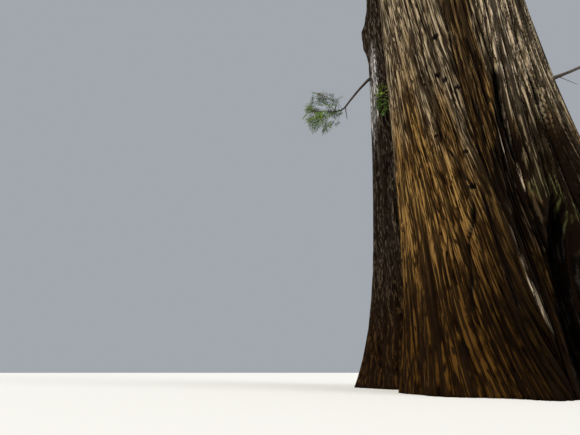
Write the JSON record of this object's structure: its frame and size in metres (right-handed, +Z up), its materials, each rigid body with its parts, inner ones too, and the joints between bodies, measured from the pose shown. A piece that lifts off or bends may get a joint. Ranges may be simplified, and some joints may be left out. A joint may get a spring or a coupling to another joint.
{
  "type": "redwood tree",
  "caption": "Old coast redwood with two stems fused at the butt, a burnt hollow at its foot, a clear bole and a narrow crown of drooping boughs.",
  "frame": {"origin": "centre of the main trunk's flat ground cut", "axes": "+Z up the trunk; +Y is level, away from the viewer of the picture; +X is to that viewer's right"},
  "size_m": [6.9426, 7.1037, 40],
  "materials": {
    "bark": "deeply furrowed fibrous bark",
    "shaded_bark": "darker, finer furrowed bark",
    "limb_bark": "thin flaky bark",
    "needles": "flat needles in sprays, slightly glossy"
  },
  "bodies": {
    "root": {"main_trunk": "bark", "second_stem": "shaded_bark", "bough_main_1": "limb_bark", "bough_main_2": "limb_bark", "bough_main_3": "limb_bark", "bough_main_4": "limb_bark", "bough_main_5": "limb_bark", "bough_main_6": "limb_bark", "bough_main_7": "limb_bark", "bough_main_8": "limb_bark", "bough_main_9": "limb_bark", "bough_main_10": "limb_bark", "bough_main_11": "limb_bark", "bough_main_12": "limb_bark", "bough_main_13": "limb_bark", "bough_main_14": "limb_bark", "bough_main_15": "limb_bark", "bough_main_16": "limb_bark", "bough_main_17": "limb_bark", "bough_second_1": "limb_bark", "bough_second_2": "limb_bark", "bough_second_3": "limb_bark", "bough_second_4": "limb_bark", "bough_second_5": "limb_bark", "bough_second_6": "limb_bark", "bough_low_left": "limb_bark", "bough_low_right": "limb_bark", "foliage_main_1": "needles", "foliage_main_2": "needles", "foliage_main_3": "needles", "foliage_main_4": "needles", "foliage_main_5": "needles", "foliage_main_6": "needles", "foliage_main_7": "needles", "foliage_main_8": "needles", "foliage_main_9": "needles", "foliage_main_10": "needles", "foliage_main_11": "needles", "foliage_main_12": "needles", "foliage_main_13": "needles", "foliage_main_14": "needles", "foliage_main_15": "needles", "foliage_main_16": "needles", "foliage_main_17": "needles", "foliage_second_1": "needles", "foliage_second_2": "needles", "foliage_second_3": "needles", "foliage_second_4": "needles", "foliage_second_5": "needles", "foliage_second_6": "needles", "foliage_low_left": "needles", "foliage_low_right": "needles", "foliage_main_top": "needles", "foliage_second_top": "needles", "foliage_sprout": "needles"}
  },
  "joints": []
}
